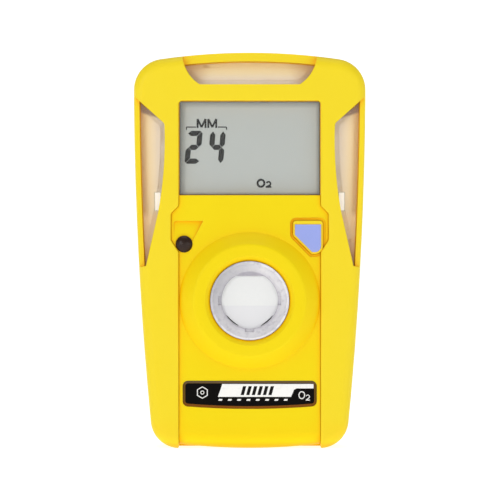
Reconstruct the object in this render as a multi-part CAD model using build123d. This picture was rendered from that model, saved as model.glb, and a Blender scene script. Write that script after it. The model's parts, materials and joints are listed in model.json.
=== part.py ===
from build123d import *
import math
import os

os.makedirs("parts", exist_ok=True)

# Case silhouette, seen from the front. X runs right, Z up, and the front faces -Y.
HEIGHT = 87.0
HALF_TOP = 25.5
HALF_MIDDLE = 24.2
HALF_BASE = 21.2
SHOULDER_Z = 76.0
MIDDLE_Z = 37.0
BASE_TAPER = 0.105
CROWN_RADIUS = 140.0
TOP_CORNER_RADIUS = 6.8
BASE_CORNER_RADIUS = 6.3

# Depth of the main surfaces.
BOSS_FRONT = -20.5
BUMPER_FRONT = -18.6
PANEL_FRONT = -18.0
CORE_FRONT = -17.0
CORE_INSIDE = -15.3
PARTING = -4.0
REAR_INSIDE = 4.9
REAR_FACE = 6.9
CLIP_PAD_FACE = 7.9
FRONT_BULGE_RADIUS = 260.0

# Wall insets from the silhouette: side, top and base.
CORE_INSET = (1.25, 2.1, 1.5)
CAVITY_INSET = (2.95, 3.8, 3.2)
BUMPER_EDGE_RADIUS = 2.2
RIM_RADIUS = 0.3
CORE_EDGE_RADIUS = 1.8
REAR_EDGE_RADIUS = 3.2
PARTING_GROOVE = 0.15

# Centre panel and display opening.
PANEL_HALF = 15.6
PANEL_WIDE_HALF = 17.3
PANEL_GAP = 0.08
DISPLAY_TOP = 76.4
DISPLAY_BASE = 55.6
BASE_ARC_RISE = 0.9
BASE_LIP_RADIUS = 3.0
WINDOW_SEAT = -16.2
GLASS_HALF = 15.3
GLASS_LOW = 55.85
GLASS_HIGH = 76.15
GLASS_BACK = -14.6

# Alarm lenses.
LENS_FRONT = -17.4
LENS_BACK = -13.85
LENS_SEAT = -13.8
LENS_INSET = (1.35, 2.0, 1.0)
LENS_WALL = 0.95
LENS_EDGE_RADIUS = 3.0
LENS_GAP = 0.06
LENS_FLANGE = 1.0
TRAY_FRONT = -14.05
REFLECTOR_BACK = -13.3
SIDE_LIP = 1.25
TOP_LIP = 1.9
LIP_FRONT = -16.4

# Circuit boards.
BOARD_FRONT = -12.4
BOARD_BACK = -11.2
BOARD_INSET = (3.4, 4.3, 3.7)
BOARD_POSTS = ((14.8, 78.6), (-14.8, 78.6), (15.5, 18.5), (-15.5, 18.5))
CASE_POSTS = ((19.0, 79.5), (-19.0, 79.5), (15.0, 7.0), (-15.0, 7.0))
INSERT_FRONT = -8.2
INSERT_RADIUS = 1.6
SENSOR_BOARD_FRONT = -1.4
SENSOR_BOARD_BACK = -0.4
SENSOR_BOARD_POSTS = ((11.5, 22.0), (-11.5, 22.0), (11.5, 50.5), (-11.5, 50.5))

# Gas sensor and its mouth.
SENSOR_Z = 32.5
MOUTH_RADIUS = 8.75
MOUTH_FLOOR = -17.4
INLET_RADIUS = 6.0
LEDGE_BACK = -16.6
CELL_RADIUS = 10.0
CELL_FRONT = -15.8
CELL_BACK = -2.4
FILTER_FRONT = -17.8
RETAINER_FRONT = -20.1
RETAINER_RADIUS = 8.65
RETAINER_BORE = 6.2
RETAINER_DISH = -18.5

# Nameplate on the front.
LABEL_FLOOR = -17.2
LABEL_FRAME = 0.6
LABEL_FACE_BACK = -17.35

# Push button and switch.
BUTTON_FRONT = -18.15
BUTTON_WELL_FLOOR = -17.3
BUTTON_GROOVE = 0.6
BUTTON_X = 12.8
BUTTON_TOP = 50.7
SWITCH_X = 13.2
SWITCH_Z = 46.6
SWITCH_FRONT = -14.0
PLUNGER_TIP = -14.75
BUTTON_FLANGE_BACK = -14.85

# Alarm outlet and buzzer.
OUTLET_X = -14.4
OUTLET_Z = 44.9
OUTLET_RADIUS = 1.85
OUTLET_CAP_FRONT = -18.5
OUTLET_DOME_RADIUS = 2.6
BUZZER_FRONT = -14.95

# Battery and vibration motor.
BATTERY_RADIUS = 7.25
BATTERY_HALF = 16.75
BATTERY_Y = -3.0
BATTERY_Z = 62.0
MOTOR_Y = -7.2
MOTOR_Z = 11.5
MOTOR_RADIUS = 3.0
MOTOR_SHAFT_RADIUS = 0.4

# Grip grooves on the back.
GRIP_ROWS = 7
GRIP_X = 14.8
GRIP_LOW_Z = 32.0
GRIP_PITCH = 2.6
GRIP_LENGTH = 7.6

# Spring clip on the back.
STEEL = 1.0
CLIP_HALF = 8.0
CLIP_LOW_Z = 24.0
CLIP_HIGH_Z = 64.0
PLATE_BACK = CLIP_PAD_FACE + STEEL
PIN_Y = 12.8
PIN_Z = 51.0
PIN_RADIUS = 1.0
LEVER_HALF = 6.7
LEVER_BACK = 20.5
JAW_Z = 26.9
CLIP_SCREW_Z = 36.0
CLIP_INSERT_FRONT = 3.3
WASHER_THICKNESS = 0.4
SPRING_RADIUS = 1.7
WIRE_RADIUS = 0.4
SPRING_HALF = 3.6
SPRING_TURNS = 8


def prism(sketch, y_front, y_back):
    """Solid between two depths whose section is a sketch seen from the front."""
    return extrude(Plane.XZ.offset(-y_back) * sketch, y_back - y_front)


def side_prism(sketch, x_low, x_high):
    """Solid between two widths whose section is a sketch of depth and height."""
    return extrude(Plane.YZ.offset(x_low) * sketch, x_high - x_low)


def polygon(points):
    """Closed face through the given corners."""
    return make_face(Polyline(*points, close=True))


def block(x, y, z):
    """Box between three pairs of limits."""
    size = [high - low for low, high in (x, y, z)]
    centre = [(high + low) / 2 for low, high in (x, y, z)]
    return Pos(*centre) * Box(*size)


def disc(radius, y_front, y_back, x=0.0, z=SENSOR_Z):
    """Round piece whose axis runs from front to back."""
    return Pos(x, (y_front + y_back) / 2, z) * Rot(90, 0, 0) * Cylinder(radius, y_back - y_front)


def rod(radius, x_low, x_high, y, z):
    """Round piece whose axis runs across the case."""
    return Pos((x_low + x_high) / 2, y, z) * Rot(0, 90, 0) * Cylinder(radius, x_high - x_low)


def turned(profile, x=0.0, z=SENSOR_Z):
    """Turn a face of radius and depth about a front-to-back axis."""
    return Pos(x, 0, z) * revolve(profile, Axis.Y)


def outline(side, top, base):
    """Case silhouette, set in by its own amount at the sides, top and base."""
    base_x = HALF_BASE - side + base * BASE_TAPER
    middle_x = HALF_MIDDLE - side
    top_x = HALF_TOP - side
    crown_z = HEIGHT - top
    corner_z = crown_z - CROWN_RADIUS + math.sqrt(CROWN_RADIUS ** 2 - top_x ** 2)
    edge = Line((-base_x, base), (base_x, base))
    edge += ThreePointArc((base_x, base), (middle_x, MIDDLE_Z), (top_x, SHOULDER_Z))
    edge += Line((top_x, SHOULDER_Z), (top_x, corner_z))
    edge += ThreePointArc((top_x, corner_z), (0, crown_z), (-top_x, corner_z))
    edge += Line((-top_x, corner_z), (-top_x, SHOULDER_Z))
    edge += ThreePointArc((-top_x, SHOULDER_Z), (-middle_x, MIDDLE_Z), (-base_x, base))
    face = make_face(edge)
    face = fillet(face.vertices().filter_by(lambda v: v.Y > SHOULDER_Z + 1), TOP_CORNER_RADIUS - side)
    return fillet(face.vertices().filter_by(lambda v: v.Y < base + 0.1), BASE_CORNER_RADIUS - side)


def bulged(solid, front):
    """Trim a solid to the gently rounded front of the case."""
    drum = Cylinder(FRONT_BULGE_RADIUS, 3 * HEIGHT)
    return solid & Pos(0, front + FRONT_BULGE_RADIUS, HEIGHT / 2) * drum


def front_edges(solid):
    """Edges round the foremost face."""
    return solid.faces().sort_by(Axis.Y)[0].edges()


def panel_outline(gap):
    """Opening of the bumper: display, button shoulders and the strip down to the base."""
    narrow = PANEL_HALF - gap
    wide = PANEL_WIDE_HALF - gap
    right = ((narrow, DISPLAY_TOP), (narrow, 53.3), (wide, 51.6), (wide, 45.8), (narrow, 43.2))
    left = [(-x, z) for x, z in reversed(right)]
    face = polygon([*right, (narrow, -1.0), (-narrow, -1.0), *left])
    corners = face.vertices().filter_by(lambda v: v.Y > 0)
    return fillet(corners, 0.9)


def side_window(sign):
    """Window of a side lens, open through the side of the case; sign is 1 right, -1 left."""
    inner_top = (18.75, 71.4)
    waist = (20.1, 52.0)
    tip = (22.8, 40.1)
    beyond = HALF_TOP + 5.0
    edge = Line((beyond, 82.0), inner_top)
    edge += ThreePointArc(inner_top, (18.85, 62.3), waist)
    edge += Line(waist, tip)
    edge += Line(tip, (beyond, 38.6))
    edge += Line((beyond, 38.6), (beyond, 82.0))
    face = make_face(edge)
    corner = face.vertices().filter_by(lambda v: abs(v.X - inner_top[0]) < 0.1)
    face = fillet(corner, 1.2)
    return face if sign > 0 else mirror(face, Plane.YZ)


def top_window():
    """Window of the top lens, open through the top of the case."""
    low, waist, high = (11.0, 80.0), (13.4, 82.3), (15.1, HEIGHT + 3.0)
    edge = Line((-low[0], low[1]), low)
    edge += ThreePointArc(low, waist, (14.7, 85.5))
    edge += Line((14.7, 85.5), high)
    edge += Line(high, (-high[0], high[1]))
    edge += Line((-high[0], high[1]), (-14.7, 85.5))
    edge += ThreePointArc((-14.7, 85.5), (-waist[0], waist[1]), (-low[0], low[1]))
    face = make_face(edge)
    return fillet(face.vertices().filter_by(lambda v: v.Y < low[1] + 0.1), 0.8)


WINDOWS = {"top": top_window(), "left": side_window(-1), "right": side_window(1)}


def window_cutter(sketch):
    """Everything in front of a lens seat, inside one window."""
    return prism(sketch, BOSS_FRONT - 2, LENS_SEAT)


def button_outline(inset, top_inset=0.0):
    """Five-sided button shape, cut to follow the sensor boss; top_inset lowers its top by more."""
    face = polygon([(8.9, BUTTON_TOP), (16.7, BUTTON_TOP), (16.7, 42.1), (13.3, 42.1), (8.9, 46.5)])
    large = face.vertices().filter_by(lambda v: v.X > 16 and v.Y < 43)
    face = fillet(large, 2.4)
    small = face.vertices().filter_by(lambda v: v.Y > 46.4 and not (v.X > 16.6 and v.Y < 50))
    face = fillet(small, 1.3)
    if inset:
        face = offset(face, -inset)
    below_top = Pos(BUTTON_X, BUTTON_TOP - inset - top_inset - BUTTON_TOP / 2) * Rectangle(20.0, BUTTON_TOP)
    return face & below_top


def window_lips():
    """Lip of the bumper that runs round the outside of the lenses, behind the bumper's front."""
    lip = outline(0, 0, 0) - outline(SIDE_LIP, TOP_LIP, 0)
    return prism(lip, LIP_FRONT, PARTING)


def front_bumper():
    outer = prism(outline(0, 0, 0), BUMPER_FRONT - 1, PARTING - PARTING_GROOVE)
    outer = bulged(outer, BUMPER_FRONT)
    outer = fillet(front_edges(outer), BUMPER_EDGE_RADIUS)
    outer -= core_form(0.0)
    outer -= prism(panel_outline(0), BUMPER_FRONT - 1, PARTING)
    lips = window_lips()
    for window in WINDOWS.values():
        outer -= window_cutter(window) - lips
    rims = outer.edges().filter_by(lambda e: is_inner_rim(e.center()))
    return fillet(rims, RIM_RADIUS)


def is_inner_rim(place):
    """True for the front edges of the bumper's openings, away from its silhouette."""
    beside_panel = abs(place.X) < PANEL_WIDE_HALF + 0.1 and 2.0 < place.Z < DISPLAY_TOP + 0.1
    return beside_panel and place.Y < BUMPER_FRONT + 0.9


def core_form(gap):
    """Outside of the hard shell where the bumper covers it."""
    side, top, base = CORE_INSET
    form = prism(outline(side + gap, top + gap, base + gap), CORE_FRONT, PARTING)
    return fillet(front_edges(form), CORE_EDGE_RADIUS)


def base_lip():
    """Foot of the centre panel, which reaches the base between the bumper's two ends."""
    half = PANEL_HALF - PANEL_GAP
    edge = ThreePointArc((-half, BASE_ARC_RISE), (0, 0), (half, BASE_ARC_RISE))
    edge += Polyline((half, BASE_ARC_RISE), (half, 8.0), (-half, 8.0), (-half, BASE_ARC_RISE))
    return prism(make_face(edge), PANEL_FRONT - 1, PARTING)


def centre_panel():
    below_display = Pos(0, DISPLAY_BASE / 2 + 0.5) * Rectangle(2 * HALF_TOP, DISPLAY_BASE - 1.0)
    sketch = panel_outline(PANEL_GAP) & below_display
    panel = bulged(prism(sketch, PANEL_FRONT - 1, CORE_FRONT + 0.5) + base_lip(), PANEL_FRONT)
    foot = panel.edges().filter_by(lambda e: e.center().Z < 1.5 and e.center().Y < CORE_FRONT)
    return fillet(foot.sort_by(SortBy.LENGTH)[-1], BASE_LIP_RADIUS)


def sensor_boss():
    face = polygon([(0, CORE_INSIDE), (15.45, CORE_INSIDE), (15.45, -17.6), (12.3, BOSS_FRONT),
                    (0, BOSS_FRONT)])
    rim = face.vertices().filter_by(lambda v: 12 < v.X < 13)
    return turned(fillet(rim, 0.9))


def outlet_pocket():
    """Shallow pocket round the alarm outlet, deepest under its crisp top edge."""
    sketch = polygon([(-16.7, 50.0), (-10.2, 50.0), (-12.0, 46.6), (-14.3, 42.6), (-16.7, 42.6)])
    sketch = fillet(sketch.vertices().filter_by(lambda v: v.X < -14), 0.6)
    slope = polygon([(-20.0, 50.1), (-17.05, 50.1), (-17.95, 42.0), (-20.0, 42.0)])
    return prism(sketch, -20.0, CORE_FRONT) & side_prism(slope, -20.0, 0.0)


def display_recess():
    """Seat of the display window and the opening for the glass behind it."""
    seat = block((-16.4, 16.4), (CORE_FRONT - 1, WINDOW_SEAT), (DISPLAY_BASE, DISPLAY_TOP + 0.8))
    half = GLASS_HALF + 0.15
    return seat + block((-half, half), (CORE_FRONT, CORE_INSIDE), (GLASS_LOW - 0.13, GLASS_HIGH + 0.13))


def label_outline(inset):
    """Nameplate: straight top, bowed base."""
    half = 14.75 - inset
    top = 14.9 - inset
    edge = ThreePointArc((-half, 9.3 + inset), (0, 8.7 + inset), (half, 9.3 + inset))
    edge += Polyline((half, 9.3 + inset), (half, top), (-half, top), (-half, 9.3 + inset))
    face = make_face(edge)
    return fillet(face.vertices(), 1.2 - inset)


def front_shell():
    shell = core_form(0.0) + centre_panel() + sensor_boss()
    shell -= prism(outline(*CAVITY_INSET), CORE_INSIDE, PARTING)
    shell += disc(11.4, LEDGE_BACK, -12.8)
    for x, z in BOARD_POSTS:
        shell += disc(1.6, CORE_INSIDE - 0.1, BOARD_FRONT, x, z)
    for x, z in CASE_POSTS:
        shell += disc(2.6, CORE_INSIDE - 0.1, PARTING, x, z)
    shell -= disc(MOUTH_RADIUS, BOSS_FRONT, MOUTH_FLOOR)
    shell -= turned(polygon([(0, BOSS_FRONT), (9.85, BOSS_FRONT), (MOUTH_RADIUS, -19.7), (0, -19.7)]))
    shell -= disc(INLET_RADIUS, MOUTH_FLOOR, LEDGE_BACK)
    shell -= disc(CELL_RADIUS + 0.15, LEDGE_BACK, -12.8)
    shell -= display_recess()
    shell -= outlet_pocket()
    shell -= disc(OUTLET_RADIUS, -19.0, CORE_INSIDE, OUTLET_X, OUTLET_Z)
    shell -= prism(button_outline(0), -19.0, BUTTON_WELL_FLOOR)
    shell -= prism(button_outline(BUTTON_GROOVE - 0.06), -19.0, CORE_INSIDE)
    shell -= prism(label_outline(0), -19.0, LABEL_FLOOR)
    for window in WINDOWS.values():
        shell -= window_cutter(window)
    for x, z in BOARD_POSTS:
        shell -= disc(0.75, -14.6, BOARD_FRONT, x, z)
    for x, z in CASE_POSTS:
        shell -= disc(INSERT_RADIUS, INSERT_FRONT, PARTING, x, z)
    return shell


def rear_shell():
    shell = prism(outline(0.1, 0.1, 0), PARTING, REAR_FACE)
    shell = fillet(shell.faces().sort_by(Axis.Y)[-1].edges(), REAR_EDGE_RADIUS)
    side, top, base = CAVITY_INSET
    shell += prism(outline(side + 0.06, top + 0.06, base + 0.06), PARTING - 1.6, PARTING)
    shell -= prism(outline(side + 1.0, top + 1.0, base + 1.0), PARTING - 1.6, PARTING + 1.6)
    shell -= prism(outline(2.1, 2.2, 2.1), PARTING + 1.6, REAR_INSIDE)
    shell -= gasket_ring()
    for x, z in CASE_POSTS:
        shell -= disc(2.7, PARTING - 1.6, PARTING + 0.05, x, z)
    shell += clip_pad()
    for x, z in CASE_POSTS:
        shell += disc(2.6, PARTING + 0.05, REAR_INSIDE + 0.1, x, z)
    for x, z in SENSOR_BOARD_POSTS:
        shell += disc(1.6, SENSOR_BOARD_BACK, REAR_INSIDE + 0.1, x, z)
    shell += disc(3.2, 2.6, REAR_INSIDE + 0.1, 0, CLIP_SCREW_Z)
    for x, z in CASE_POSTS:
        shell -= disc(1.1, PARTING - 2, REAR_FACE, x, z)
        shell -= disc(2.1, 4.4, REAR_FACE, x, z)
    for x, z in SENSOR_BOARD_POSTS:
        shell -= disc(0.7, SENSOR_BOARD_BACK, 2.4, x, z)
    shell -= disc(2.0, CLIP_INSERT_FRONT, CLIP_PAD_FACE, 0, CLIP_SCREW_Z)
    for groove in grip_grooves():
        shell -= groove
    return shell - prism(rear_label_sketch(0.1), 6.6, REAR_FACE)


def grip_grooves():
    """Two ladders of shallow grooves on the back, one each side of the clip."""
    grooves = []
    for row in range(GRIP_ROWS):
        for side in (-1, 1):
            sketch = Pos(side * GRIP_X, GRIP_LOW_Z + GRIP_PITCH * row) * SlotOverall(GRIP_LENGTH, 1.1)
            grooves.append(prism(sketch, REAR_FACE - 0.4, REAR_FACE))
    return grooves


def gasket_ring():
    ring = prism(outline(1.7, 2.5, 1.9), PARTING, PARTING + 0.8)
    return ring - prism(outline(2.5, 3.3, 2.7), PARTING, PARTING + 0.8)


def clip_pad():
    """Raised pad that the clip's base plate is screwed to."""
    sketch = Pos(0, (CLIP_LOW_Z + CLIP_HIGH_Z) / 2) * RectangleRounded(17.6, 41.6, 2.0)
    return prism(sketch, REAR_FACE - 0.2, CLIP_PAD_FACE)


def rear_label_sketch(gap):
    return Pos(0, 14.6) * RectangleRounded(24.0 + 2 * gap, 11.0 + 2 * gap, 1.2)


def lens_form(extra, front):
    """Rounded glassy form that all three lenses are cut from."""
    side, top, base = LENS_INSET
    form = prism(outline(side + extra, top + extra, base + extra), front, LENS_BACK)
    return fillet(front_edges(form), LENS_EDGE_RADIUS - extra)


def alarm_lens(window):
    side, top, base = CAVITY_INSET
    lens = lens_form(0.0, LENS_FRONT) & prism(offset(window, -LENS_GAP), LENS_FRONT, LENS_BACK)
    inside_case = outline(side + 0.1, top + 0.1, base + 0.1)
    lens += prism(offset(window, LENS_FLANGE) & inside_case, CORE_INSIDE + 0.05, LENS_BACK)
    hollow = lens_form(LENS_WALL, LENS_FRONT + LENS_WALL)
    return lens - (hollow & prism(offset(window, -LENS_WALL), LENS_FRONT, LENS_BACK))


def led_block(led, y_front, y_back, extra):
    """Box round a lamp, wider than it by a small amount on every side."""
    x, z, half_width, half_height = led
    across = (x - half_width - extra, x + half_width + extra)
    return block(across, (y_front, y_back), (z - half_height - extra, z + half_height + extra))


def alarm_reflector(window, leds):
    """Plate behind a lens, a thin skin under the lens rim and a raised tray inside it."""
    side, top, base = CAVITY_INSET
    inside_case = outline(side + 0.15, top + 0.15, base + 0.15)
    plate = prism(offset(window, 0.6) & inside_case, LENS_SEAT, REFLECTOR_BACK)
    side, top, base = LENS_INSET
    under_rim = outline(side + 0.1, top + 0.1, base + 0.1)
    plate += prism(offset(window, -0.1) & under_rim, LENS_BACK, LENS_SEAT)
    hollow = lens_form(LENS_WALL + 0.05, LENS_FRONT + LENS_WALL)
    plate += hollow & prism(offset(window, -LENS_WALL - 0.05), TRAY_FRONT, LENS_BACK)
    for led in leds:
        plate -= led_block(led, TRAY_FRONT, REFLECTOR_BACK, 0.08)
    return plate


# Lamps behind each lens: centre, half width and half height.
LEDS = {
    "top": ((-7.0, 79.5, 1.1, 0.4), (7.0, 79.5, 1.1, 0.4)),
    "left": ((-18.2, 67.0, 0.4, 0.8), (-20.3, 54.3, 0.6, 2.0)),
    "right": ((18.2, 67.0, 0.4, 0.8), (20.3, 54.3, 0.6, 2.0)),
}


def alarm_leds():
    lamps = []
    for places in LEDS.values():
        for led in places:
            lamps.append(led_block(led, LENS_BACK + 0.01, BOARD_FRONT, 0.0))
    return Compound(children=lamps)


def display_window():
    plate = block((-16.35, 16.35), (CORE_FRONT, WINDOW_SEAT - 0.05),
                  (DISPLAY_BASE + 0.05, DISPLAY_TOP + 0.75))
    raised = Pos(0, 66.0) * RectangleRounded(30.98, 20.58, 0.85)
    return plate + prism(raised, -17.55, CORE_FRONT)


def display_glass():
    """Two panes; the front one reaches lower and shows its contacts to the zebra strip."""
    joint = (WINDOW_SEAT + 0.1 + GLASS_BACK) / 2
    across = (-GLASS_HALF, GLASS_HALF)
    front_pane = block(across, (WINDOW_SEAT + 0.1, joint), (GLASS_LOW, GLASS_HIGH))
    rear_pane = block(across, (joint, GLASS_BACK), (58.4, GLASS_HIGH))
    return front_pane + rear_pane


def display_carrier():
    frame = block((-16.2, 16.2), (CORE_INSIDE + 0.05, BOARD_FRONT - 0.05), (55.0, 76.9))
    half = GLASS_HALF + 0.05
    frame -= block((-half, half), (CORE_INSIDE, GLASS_BACK + 0.05), (GLASS_LOW - 0.05, GLASS_HIGH + 0.05))
    frame -= block((-13.6, 13.6), (-13.6, BOARD_FRONT), (60.0, 74.8))
    return frame - block((-13.2, 13.2), (-15.0, BOARD_FRONT), (56.6, 58.2))


def zebra_strip():
    return block((-13.1, 13.1), (-15.35, BOARD_FRONT), (56.8, 58.0))


def main_board():
    board = prism(outline(*BOARD_INSET), BOARD_FRONT, BOARD_BACK)
    board -= disc(11.0, BOARD_FRONT, BOARD_BACK)
    for x, z in BOARD_POSTS:
        board -= disc(0.9, BOARD_FRONT, BOARD_BACK, x, z)
    for x, z in CASE_POSTS:
        board -= disc(3.0, BOARD_FRONT, BOARD_BACK, x, z)
    return board


def screw(x, z, seat, tip, head, shank, thickness):
    """Pan-head screw pointing forward, its head behind the seat."""
    face = polygon([(0, tip), (shank - 0.15, tip), (shank, tip + 0.3), (shank, seat), (head, seat),
                    (head, seat + thickness), (0, seat + thickness)])
    face = fillet(face.vertices().filter_by(lambda v: v.X > shank and v.Y > seat), 0.3)
    body = turned(face, x, z)
    slot = block((x - 0.6 * head, x + 0.6 * head),
                 (seat + 0.55 * thickness, seat + thickness), (z - 0.14 * head, z + 0.14 * head))
    cross = block((x - 0.14 * head, x + 0.14 * head),
                  (seat + 0.55 * thickness, seat + thickness), (z - 0.6 * head, z + 0.6 * head))
    return body - slot - cross


def board_screws():
    return Compound(children=[screw(x, z, BOARD_BACK, -14.4, 1.4, 0.75, 0.9) for x, z in BOARD_POSTS])


def case_screws():
    return Compound(children=[screw(x, z, 4.4, -7.6, 1.9, 1.0, 1.5) for x, z in CASE_POSTS])


def case_inserts():
    inserts = []
    for x, z in CASE_POSTS:
        hole = disc(1.0, INSERT_FRONT, PARTING, x, z)
        inserts.append(disc(INSERT_RADIUS, INSERT_FRONT, PARTING, x, z) - hole)
    return Compound(children=inserts)


def sensor_board_screws():
    screws = []
    for x, z in SENSOR_BOARD_POSTS:
        head = disc(1.25, SENSOR_BOARD_FRONT - 0.8, SENSOR_BOARD_FRONT, x, z)
        slot = block((x - 0.9, x + 0.9), (SENSOR_BOARD_FRONT - 0.8, SENSOR_BOARD_FRONT - 0.4),
                     (z - 0.2, z + 0.2))
        screws.append(head + disc(0.7, SENSOR_BOARD_FRONT, 2.2, x, z) - slot)
    return Compound(children=screws)


SENSOR_PIN_PLACES = ((0.0, SENSOR_Z + 6.5), (-5.6, SENSOR_Z - 3.2), (5.6, SENSOR_Z - 3.2))


def sensor_cell():
    can = disc(CELL_RADIUS, CELL_FRONT, CELL_BACK)
    can = fillet(can.edges().filter_by(GeomType.CIRCLE), 0.5)
    can -= disc(CELL_RADIUS + 1, -13.0, -12.4) - disc(CELL_RADIUS - 0.4, -13.0, -12.4)
    return can - disc(1.2, CELL_FRONT, CELL_FRONT + 1.0)


def sensor_pins():
    return Compound(children=[disc(0.5, CELL_BACK, 0.3, x, z) for x, z in SENSOR_PIN_PLACES])


def sensor_sockets():
    sockets = []
    for x, z in SENSOR_PIN_PLACES:
        sockets.append(disc(1.0, CELL_BACK + 0.1, 0.0, x, z) - disc(0.5, CELL_BACK, 0.0, x, z))
    return Compound(children=sockets)


def sensor_board():
    sketch = Pos(0, 36.2) * RectangleRounded(27.0, 33.0, 1.5)
    board = prism(sketch, SENSOR_BOARD_FRONT, SENSOR_BOARD_BACK)
    for x, z in SENSOR_PIN_PLACES:
        board -= disc(1.0, SENSOR_BOARD_FRONT, SENSOR_BOARD_BACK, x, z)
    for x, z in SENSOR_BOARD_POSTS:
        board -= disc(0.8, SENSOR_BOARD_FRONT, SENSOR_BOARD_BACK, x, z)
    return board


def board_header():
    header = block((-5.0, 5.0), (-3.9, SENSOR_BOARD_FRONT), (48.4, 51.0))
    header += block((-5.0, 5.0), (BOARD_BACK, -8.7), (48.4, 51.0))
    for column in range(4):
        x = -3.75 + 2.5 * column
        header += block((x - 0.3, x + 0.3), (BOARD_BACK, SENSOR_BOARD_FRONT), (49.4, 50.0))
    return header


def board_chips():
    chips = []
    for x, z, wide, tall in ((-8.0, 73.6, 6.0, 5.0), (7.5, 73.6, 4.0, 4.0), (15.0, 30.5, 4.0, 5.0),
                             (-15.0, 33.0, 3.5, 3.5), (14.5, 46.5, 5.0, 3.0)):
        chips.append(block((x - wide / 2, x + wide / 2), (BOARD_BACK, BOARD_BACK + 0.9),
                           (z - tall / 2, z + tall / 2)))
    return Compound(children=chips)


def infrared_module():
    body = block((-2.6, 2.6), (-13.1, BOARD_FRONT), (80.3, 82.3))
    return body + disc(0.7, -13.25, -13.1, -1.4, 81.3) + disc(0.7, -13.25, -13.1, 1.4, 81.3)


def sensor_gasket():
    face = Pos(8.2, (LEDGE_BACK + CELL_FRONT) / 2) * Circle((CELL_FRONT - LEDGE_BACK) / 2)
    return turned(face)


def sensor_filter():
    return disc(8.6, FILTER_FRONT, MOUTH_FLOOR)


def sensor_retainer():
    """Clear ring with a thin rim, a dished face, a flat at the top and three notches."""
    face = polygon([(RETAINER_BORE, FILTER_FRONT), (RETAINER_RADIUS, FILTER_FRONT),
                    (RETAINER_RADIUS, RETAINER_FRONT), (RETAINER_RADIUS - 0.4, RETAINER_FRONT),
                    (RETAINER_RADIUS - 0.75, RETAINER_FRONT + 0.35),
                    (RETAINER_BORE + 0.2, RETAINER_DISH), (RETAINER_BORE, RETAINER_DISH)])
    ring = turned(face)
    chord = block((-4.0, 4.0), (RETAINER_DISH, FILTER_FRONT), (SENSOR_Z + 5.4, SENSOR_Z + 6.6))
    ring += chord & disc(RETAINER_BORE + 0.3, RETAINER_DISH, FILTER_FRONT)
    for turn in (0, 180, 270):
        notch = block((5.9, 6.9), (FILTER_FRONT - 1.5, FILTER_FRONT - 0.3), (-1.0, 1.0))
        ring -= Pos(0, 0, SENSOR_Z) * Rot(0, -turn, 0) * notch
    return ring


def push_button():
    cap = prism(button_outline(BUTTON_GROOVE), BUTTON_FRONT, BUTTON_FLANGE_BACK)
    cap = fillet(front_edges(cap), 0.3)
    flange = offset(button_outline(BUTTON_GROOVE), 0.5)
    cap += prism(flange, CORE_INSIDE + 0.1, BUTTON_FLANGE_BACK)
    return cap - prism(button_inlay_sketch(), BUTTON_FRONT, BUTTON_FRONT + 0.6)


def button_inlay_sketch():
    return button_outline(1.05, 0.45)


def button_inlay():
    return prism(button_inlay_sketch(), BUTTON_FRONT - 0.1, BUTTON_FRONT + 0.6)


def tact_switch():
    half = 2.2
    body = block((SWITCH_X - half, SWITCH_X + half), (SWITCH_FRONT, BOARD_FRONT),
                 (SWITCH_Z - half, SWITCH_Z + half))
    return body - disc(1.06, SWITCH_FRONT, -12.7, SWITCH_X, SWITCH_Z)


def switch_plunger():
    plunger = disc(1.0, PLUNGER_TIP, -13.2, SWITCH_X, SWITCH_Z)
    return fillet(plunger.edges().filter_by(GeomType.CIRCLE).sort_by(Axis.Y)[0], 0.2)


def buzzer():
    can = disc(4.0, BUZZER_FRONT, BOARD_FRONT, OUTLET_X - 0.4, OUTLET_Z + 0.7)
    can = fillet(can.edges().filter_by(GeomType.CIRCLE).sort_by(Axis.Y)[0], 0.3)
    return can - disc(1.0, BUZZER_FRONT, -14.2, OUTLET_X, OUTLET_Z)


def buzzer_gasket():
    """Soft ring that joins the buzzer to the alarm outlet."""
    ring = disc(2.6, CORE_INSIDE, BUZZER_FRONT, OUTLET_X, OUTLET_Z)
    return ring - disc(1.6, CORE_INSIDE, BUZZER_FRONT, OUTLET_X, OUTLET_Z)


def alarm_port_cap():
    dome = Pos(OUTLET_X, OUTLET_CAP_FRONT + OUTLET_DOME_RADIUS, OUTLET_Z) * Sphere(OUTLET_DOME_RADIUS)
    return dome & disc(OUTLET_RADIUS, OUTLET_CAP_FRONT, -16.0, OUTLET_X, OUTLET_Z)


def label_plate():
    plate = bulged(prism(label_outline(0.06), -19.0, LABEL_FLOOR), PANEL_FRONT + 0.1)
    return plate - prism(label_outline(LABEL_FRAME), -19.0, LABEL_FACE_BACK)


def label_face():
    return bulged(prism(label_outline(LABEL_FRAME), -19.0, LABEL_FACE_BACK), PANEL_FRONT + 0.2)


def rear_label():
    return prism(rear_label_sketch(0.0), 6.6, 6.8)


def battery_cell():
    can = rod(BATTERY_RADIUS, -BATTERY_HALF, BATTERY_HALF - 0.8, BATTERY_Y, BATTERY_Z)
    can = fillet(can.edges().filter_by(GeomType.CIRCLE), 0.6)
    return can + rod(2.8, BATTERY_HALF - 0.9, BATTERY_HALF, BATTERY_Y, BATTERY_Z)


def battery_tabs():
    tabs = []
    for x in (-BATTERY_HALF - 0.2, BATTERY_HALF):
        strip = block((x, x + 0.2), (BOARD_BACK, -1.0), (BATTERY_Z - 2.0, BATTERY_Z + 2.0))
        tabs.append(strip)
    return Compound(children=tabs)


def battery_pad():
    pad = block((-12.0, 12.0), (0.5, REAR_INSIDE), (BATTERY_Z - 5.0, BATTERY_Z + 5.0))
    return pad - rod(BATTERY_RADIUS, -13.0, 13.0, BATTERY_Y, BATTERY_Z)


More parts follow.
